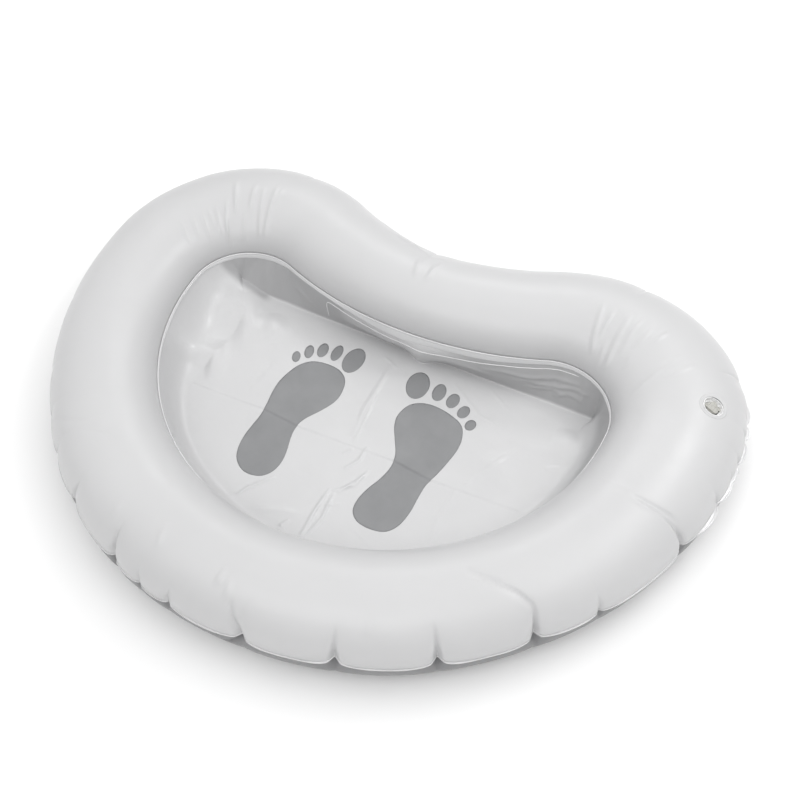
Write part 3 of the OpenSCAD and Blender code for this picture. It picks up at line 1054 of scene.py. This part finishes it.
def valve_stem(material):
    """The bored stem, with a lug beside its rim that carries the strap's anchor."""
    tube = [
        (3.2, STEM_END), (STEM_R, STEM_END), (STEM_R, -2.0), (5.8, -2.0),
        (5.8, RIM_Z), (3.6, RIM_Z), (3.6, -5.6), (3.2, -5.6),
    ]
    lug = pad(*strip_outline(4.4, 7.4, 2.0), bevelled(-2.0, RIM_Z, 0.2))
    anchor = pad(*strip_outline(6.65, 7.4, 2.0), bevelled(RIM_Z - 0.3, HINGE_Z, 0.12))
    points, faces = joined(lathe(rounded(tube, 0.25)), lug, anchor)
    piece = add_mesh("valve_stem_tube", place(points), faces, material, "stem")
    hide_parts("valve_stem")


def stopper_plug(material):
    """The head, with shallow grip rings on it, over the nose that closes the bore."""
    outline, _ = hull_outline([(-6.4, 0, 1.6), (1.5, 3.6, 2.6), (1.5, -3.6, 2.6)], 192)
    top, ring_depth = RIM_Z + 1.34, 0.06
    levels = bevelled(RIM_Z, top, 0.28)
    levels += [(0.5 + 0.3 * k, top + ring_depth * math.sin(k * math.pi / 2)) for k in range(13)]
    head = pad(outline, (outline - outline.mean(0)) / 5, levels)
    nose_profile = [(0.02, RIM_Z + 0.2), (3.5, RIM_Z + 0.2), (3.5, RIM_Z - 0.3), (2.65, -5.2), (0.02, -5.2)]
    nose = lathe(rounded(nose_profile, 0.2)[::-1])
    points, faces = joined(head, nose)
    piece = add_mesh("stopper_plug_head", place(points), faces, material, "stopper")
    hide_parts("stopper_plug")


def stopper_strap(material):
    """The short strap from the stopper's head to its hinge."""
    points, faces = pad(*strip_outline(3.9, HINGE_X + 0.12, 2.0), bevelled(RIM_Z + 0.08, RIM_Z + 0.6, 0.2))
    piece = add_mesh("stopper_strap_strip", place(points), faces, material, "stopper")
    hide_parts("stopper_strap")


def check_flap(material):
    """The disc under the stem, with the tab it hangs from and a fine groove round its seat."""
    outline, _ = hull_outline([(0, 0, FLAP_R), (4.5, 1.1, 0.35), (4.5, -1.1, 0.35)], 120)
    top = FLAP_Z + 0.2
    levels = bevelled(FLAP_Z - 0.2, top, 0.12) + [(1.2, top), (1.35, top - 0.04), (1.5, top)]
    points, faces = pad(outline, outline / FLAP_R, levels)
    piece = add_mesh("check_flap_disc", place(points), faces, material, "flap")
    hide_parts("check_flap")


# ---------------------------------------------------------------- materials

def new_material(name):
    """A new material, its node tree and its shader."""
    material = bpy.data.materials.new(name)
    material.use_nodes = True
    tree = material.node_tree
    return material, tree, tree.nodes["Principled BSDF"]


def texture(tree, kind, scale, detail=3.0, roughness=0.5, stretch=None):
    """A procedural texture in the object's own coordinates."""
    place_node = tree.nodes.new("ShaderNodeTexCoord")
    made = tree.nodes.new(kind)
    source = place_node.outputs["Object"]
    if stretch:
        mapping = tree.nodes.new("ShaderNodeMapping")
        mapping.inputs["Scale"].default_value = stretch
        tree.links.new(source, mapping.inputs["Vector"])
        source = mapping.outputs["Vector"]
    tree.links.new(source, made.inputs["Vector"])
    made.inputs["Scale"].default_value = scale
    made.inputs["Detail"].default_value = detail
    made.inputs["Detail Roughness" if kind.endswith("Wave") else "Roughness"].default_value = roughness
    return made


def ramp(tree, source, low, high, start=0.3, end=0.7):
    """A colour or grey that runs from low to high over part of a texture's range."""
    made = tree.nodes.new("ShaderNodeValToRGB")
    made.color_ramp.elements[0].position = start
    made.color_ramp.elements[1].position = end
    made.color_ramp.elements[0].color = (*low, 1) if hasattr(low, "__len__") else (low, low, low, 1)
    made.color_ramp.elements[1].color = (*high, 1) if hasattr(high, "__len__") else (high, high, high, 1)
    tree.links.new(source, made.inputs["Fac"])
    return made.outputs["Color"]


def bump(tree, shader, sources):
    """Chains bumps: each source is an output, its strength and its distance in metres."""
    last = None
    for output, strength, distance in sources:
        made = tree.nodes.new("ShaderNodeBump")
        made.inputs["Strength"].default_value = strength
        made.inputs["Distance"].default_value = distance
        tree.links.new(output, made.inputs["Height"])
        if last:
            tree.links.new(last, made.inputs["Normal"])
        last = made.outputs["Normal"]
    tree.links.new(last, shader.inputs["Normal"])


def vinyl(name, low, high, rough_low, rough_high, grain, slack, coat=0.0):
    """Soft vinyl film: a little colour variation, a fine calendered grain and slow slackness."""
    material, tree, shader = new_material(name)
    cloud = texture(tree, "ShaderNodeTexNoise", 9.0, 4.0)
    tree.links.new(ramp(tree, cloud.outputs["Fac"], low, high), shader.inputs["Base Color"])
    smear = texture(tree, "ShaderNodeTexNoise", 28.0, 5.0, 0.6)
    tree.links.new(ramp(tree, smear.outputs["Fac"], rough_low, rough_high), shader.inputs["Roughness"])
    fine = texture(tree, "ShaderNodeTexNoise", 2600.0, 2.0, 0.6)
    slow = texture(tree, "ShaderNodeTexNoise", 60.0, 3.0, 0.45)
    bump(tree, shader, [
        (slow.outputs["Fac"], 1.0, slack),
        (fine.outputs["Fac"], 0.35, grain),
    ])
    shader.inputs["IOR"].default_value = 1.53
    shader.inputs["Subsurface Weight"].default_value = 0.12
    shader.inputs["Subsurface Radius"].default_value = (0.004, 0.004, 0.004)
    shader.inputs["Subsurface Scale"].default_value = 0.5
    if coat:
        shader.inputs["Coat Weight"].default_value = coat
        shader.inputs["Coat Roughness"].default_value = 0.12
    return material


def ranged(tree, source, start, end):
    """0 at start, 1 at end and smooth between them."""
    made = tree.nodes.new("ShaderNodeMapRange")
    made.interpolation_type = "SMOOTHSTEP"
    made.inputs["From Min"].default_value = start
    made.inputs["From Max"].default_value = end
    tree.links.new(source, made.inputs["Value"])
    return made.outputs["Result"]


def reckoned(tree, operation, a, b):
    """The result of a Math node."""
    made = tree.nodes.new("ShaderNodeMath")
    made.operation = operation
    tree.links.new(a, made.inputs[0])
    tree.links.new(b, made.inputs[1])
    return made.outputs["Value"]


def shaded(material, share_of, tone):
    """Paints shade into a material: turns its colour to another, darker tone where share_of(tree, x, y, z) is
    1.
    """
    tree = material.node_tree
    shader = tree.nodes["Principled BSDF"]
    plain = shader.inputs["Base Color"].links[0].from_socket
    where = tree.nodes.new("ShaderNodeTexCoord")
    split = tree.nodes.new("ShaderNodeSeparateXYZ")
    tree.links.new(where.outputs["Object"], split.inputs["Vector"])
    shade = tree.nodes.new("ShaderNodeMix")
    shade.data_type = "RGBA"
    axes = [split.outputs[axis] for axis in "XYZ"]
    tree.links.new(share_of(tree, *axes), shade.inputs["Factor"])
    tree.links.new(plain, shade.inputs["A"])
    shade.inputs["B"].default_value = (*tone, 1)
    tree.links.new(shade.outputs["Result"], shader.inputs["Base Color"])
    return material


def ring_vinyl():
    """The ring's film, darker below the weld: painted shade for the dark strip under the outer weld."""
    tones = (0.53, 0.53, 0.535), (0.55, 0.55, 0.555)
    material = vinyl("ring_film", *tones, 0.30, 0.40, 0.00002, 0.00012)

    # Painted shade: 1 below the weld, where the lower film takes the dark tone
    def below(tree, x, y, z):
        return ranged(tree, z, WELD_Z - 0.3 * MM, WELD_Z - 1.5 * MM)

    return shaded(material, below, (0.19, 0.19, 0.195))


def floor_vinyl():
    """The thin floor film, with painted shade on its back and right walls, which hang in the shade under the
    ring.
    """
    tones = (0.53, 0.53, 0.535), (0.56, 0.56, 0.565)
    material = vinyl("floor_film", *tones, 0.28, 0.42, 0.000015, 0.0005, coat=0.12)

    # Painted shade: 1 on the back wall and on the right wall, above the ground
    def walls(tree, x, y, z):
        sides = []
        rows = (y, 0.093, 0.101, 0.001, 0.004), (x, 0.186, 0.202, 0.004, 0.02)
        for across, start, end, low, high in rows:
            beyond = ranged(tree, across, start, end)
            above = ranged(tree, z, low, high)
            sides.append(reckoned(tree, "MULTIPLY", beyond, above))
        return reckoned(tree, "MAXIMUM", *sides)

    return shaded(material, walls, (0.37, 0.37, 0.375))


def weld_vinyl():
    """Fused weld vinyl, glossier than the films; its lighter tone is partly a painted highlight on the weld
    lines.
    """
    # The lighter tones are partly a painted highlight on the bright weld lines
    tones = (0.64, 0.64, 0.645), (0.70, 0.70, 0.705)
    return vinyl("weld_band", *tones, 0.16, 0.26, 0.00002, 0.0002, coat=0.6)


def print_ink():
    """Screen-printed grey ink, a little uneven and finely speckled."""
    material, tree, shader = new_material("print_ink")
    cloud = texture(tree, "ShaderNodeTexNoise", 30.0, 4.0, 0.55)
    low, high = (0.196, 0.199, 0.204), (0.226, 0.229, 0.234)
    tree.links.new(ramp(tree, cloud.outputs["Fac"], low, high), shader.inputs["Base Color"])
    dots = texture(tree, "ShaderNodeTexNoise", 2200.0, 2.0, 0.5)
    tree.links.new(ramp(tree, dots.outputs["Fac"], 0.34, 0.48), shader.inputs["Roughness"])
    bump(tree, shader, [(dots.outputs["Fac"], 0.5, 0.00003)])
    return material


def valve_vinyl(name, tint, clear):
    """Moulded clear vinyl, a little grey and cloudy."""
    material, tree, shader = new_material(name)
    cloud = texture(tree, "ShaderNodeTexNoise", 160.0, 3.0)
    high = tuple(min(1.0, c * 1.12) for c in tint)
    tree.links.new(ramp(tree, cloud.outputs["Fac"], tint, high), shader.inputs["Base Color"])
    smear = texture(tree, "ShaderNodeTexNoise", 420.0, 3.0)
    tree.links.new(ramp(tree, smear.outputs["Fac"], 0.16, 0.3), shader.inputs["Roughness"])
    swirl = texture(tree, "ShaderNodeTexWave", 130.0, 2.0)
    swirl.inputs["Distortion"].default_value = 9.0
    bump(tree, shader, [
        (smear.outputs["Fac"], 0.6, 0.00008),
        (swirl.outputs["Fac"], 1.0, 0.0005),
    ])
    shader.inputs["IOR"].default_value = 1.5
    shader.inputs["Transmission Weight"].default_value = clear
    return material


# ---------------------------------------------------------------- build

VALVE = valve_frame()
ring_material = ring_vinyl()
floor_material = floor_vinyl()
weld_material = weld_vinyl()
ink_material = print_ink()

top = film_shell("ring_upper_film", 1, ring_material)
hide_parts("ring_top_film")
bottom = film_shell("ring_lower_film", -1, ring_material)
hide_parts("ring_bottom_film")
flange = outer_weld(weld_material)
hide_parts("outer_weld")
band = inner_weld(weld_material)
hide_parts("inner_weld")
floor_and_prints(floor_material, ink_material, weld_material)
cut_hole(top, VALVE[0], VALVE[3], COLLAR_R * MM, 8 * MM)
base_material = valve_vinyl("valve_white", (0.80, 0.80, 0.80), 0.0)
clear_material = valve_vinyl("valve_clear", (0.44, 0.435, 0.405), 0.05)
valve_weld(top, ring_material)
valve_base(base_material)
valve_web(base_material)
valve_stem(clear_material)
stopper_plug(clear_material)
stopper_strap(clear_material)
check_flap(clear_material)


# ---------------------------------------------------------------- stage, light and camera

# Soft lights: [name, where, aimed at, width and length, power]
LIGHTS = (
    ("overhead", (0.0, -0.05, 1.9), (0, 0, 0), (2.6, 2.2), 6.5),
    ("front_high", (0.1, -1.0, 1.7), (0, 0.05, 0), (1.6, 0.9), 7),
    ("crease_strip", (0.62, 0.92, 1.25), (0, 0, 0), (0.5, 0.16), 3),
    ("right_strip", (0.95, 0.25, 1.35), (0.22, -0.09, 0.07), (1.1, 0.5), 3),
    ("back_strip", (-0.35, 1.35, 1.25), (0, 0, 0), (1.2, 0.25), 3.5),
)
# The world's brightness at the horizon and overhead
SKY = (0.55, 1.05)
CAMERA_AT = (0.2659, -0.4465, 0.7345)
CAMERA_AIM = (0.0225, 0.0461, 0)
CAMERA_LENS = 44.1


def stage_floor():
    """A pale matt floor just below the basin."""
    material, tree, shader = new_material("stage")
    cloud = texture(tree, "ShaderNodeTexNoise", 2.0, 2.0)
    tree.links.new(ramp(tree, cloud.outputs["Fac"], 0.86, 0.88), shader.inputs["Base Color"])
    shader.inputs["Roughness"].default_value = 0.9
    size = 6.0
    points = [(-size, -size, -0.0005), (size, -size, -0.0005), (size, size, -0.0005), (-size, size, -0.0005)]
    floor = add_mesh("stage_floor", points, [(0, 1, 2, 3)], material, body=None)


def area_light(name, place_at, aim_at, size, power):
    """A rectangular light aimed at a point."""
    light = bpy.data.lights.new(name, "AREA")
    light.shape = "RECTANGLE"
    light.size, light.size_y = size
    light.energy = power
    lamp = bpy.data.objects.new(name, light)
    lamp.location = place_at
    lamp.rotation_euler = (Vector(aim_at) - Vector(place_at)).to_track_quat("-Z", "Y").to_euler()
    bpy.context.scene.collection.objects.link(lamp)


def studio():
    """A world that is bright overhead and duller at the horizon, and the soft lights."""
    world = bpy.data.worlds.new("studio")
    world.use_nodes = True
    tree = world.node_tree
    where = tree.nodes.new("ShaderNodeTexCoord")
    split = tree.nodes.new("ShaderNodeSeparateXYZ")
    tree.links.new(where.outputs["Generated"], split.inputs["Vector"])
    height = tree.nodes.new("ShaderNodeMapRange")
    tree.links.new(split.outputs["Z"], height.inputs["Value"])
    height.inputs["To Min"].default_value, height.inputs["To Max"].default_value = SKY
    tree.links.new(height.outputs["Result"], tree.nodes["Background"].inputs["Strength"])
    tree.nodes["Background"].inputs["Color"].default_value = (1, 1, 1, 1)
    bpy.context.scene.world = world
    for row in LIGHTS:
        area_light(*row)


def camera():
    """The photo's camera, solved from its perspective."""
    made = bpy.data.cameras.new("camera")
    made.lens = CAMERA_LENS
    made.sensor_width = 36
    eye = bpy.data.objects.new("camera", made)
    eye.location = CAMERA_AT
    eye.rotation_euler = (Vector(CAMERA_AIM) - eye.location).to_track_quat("-Z", "Y").to_euler()
    bpy.context.scene.collection.objects.link(eye)
    bpy.context.scene.camera = eye


stage_floor()
studio()
camera()
bpy.context.scene.view_settings.view_transform = "Standard"
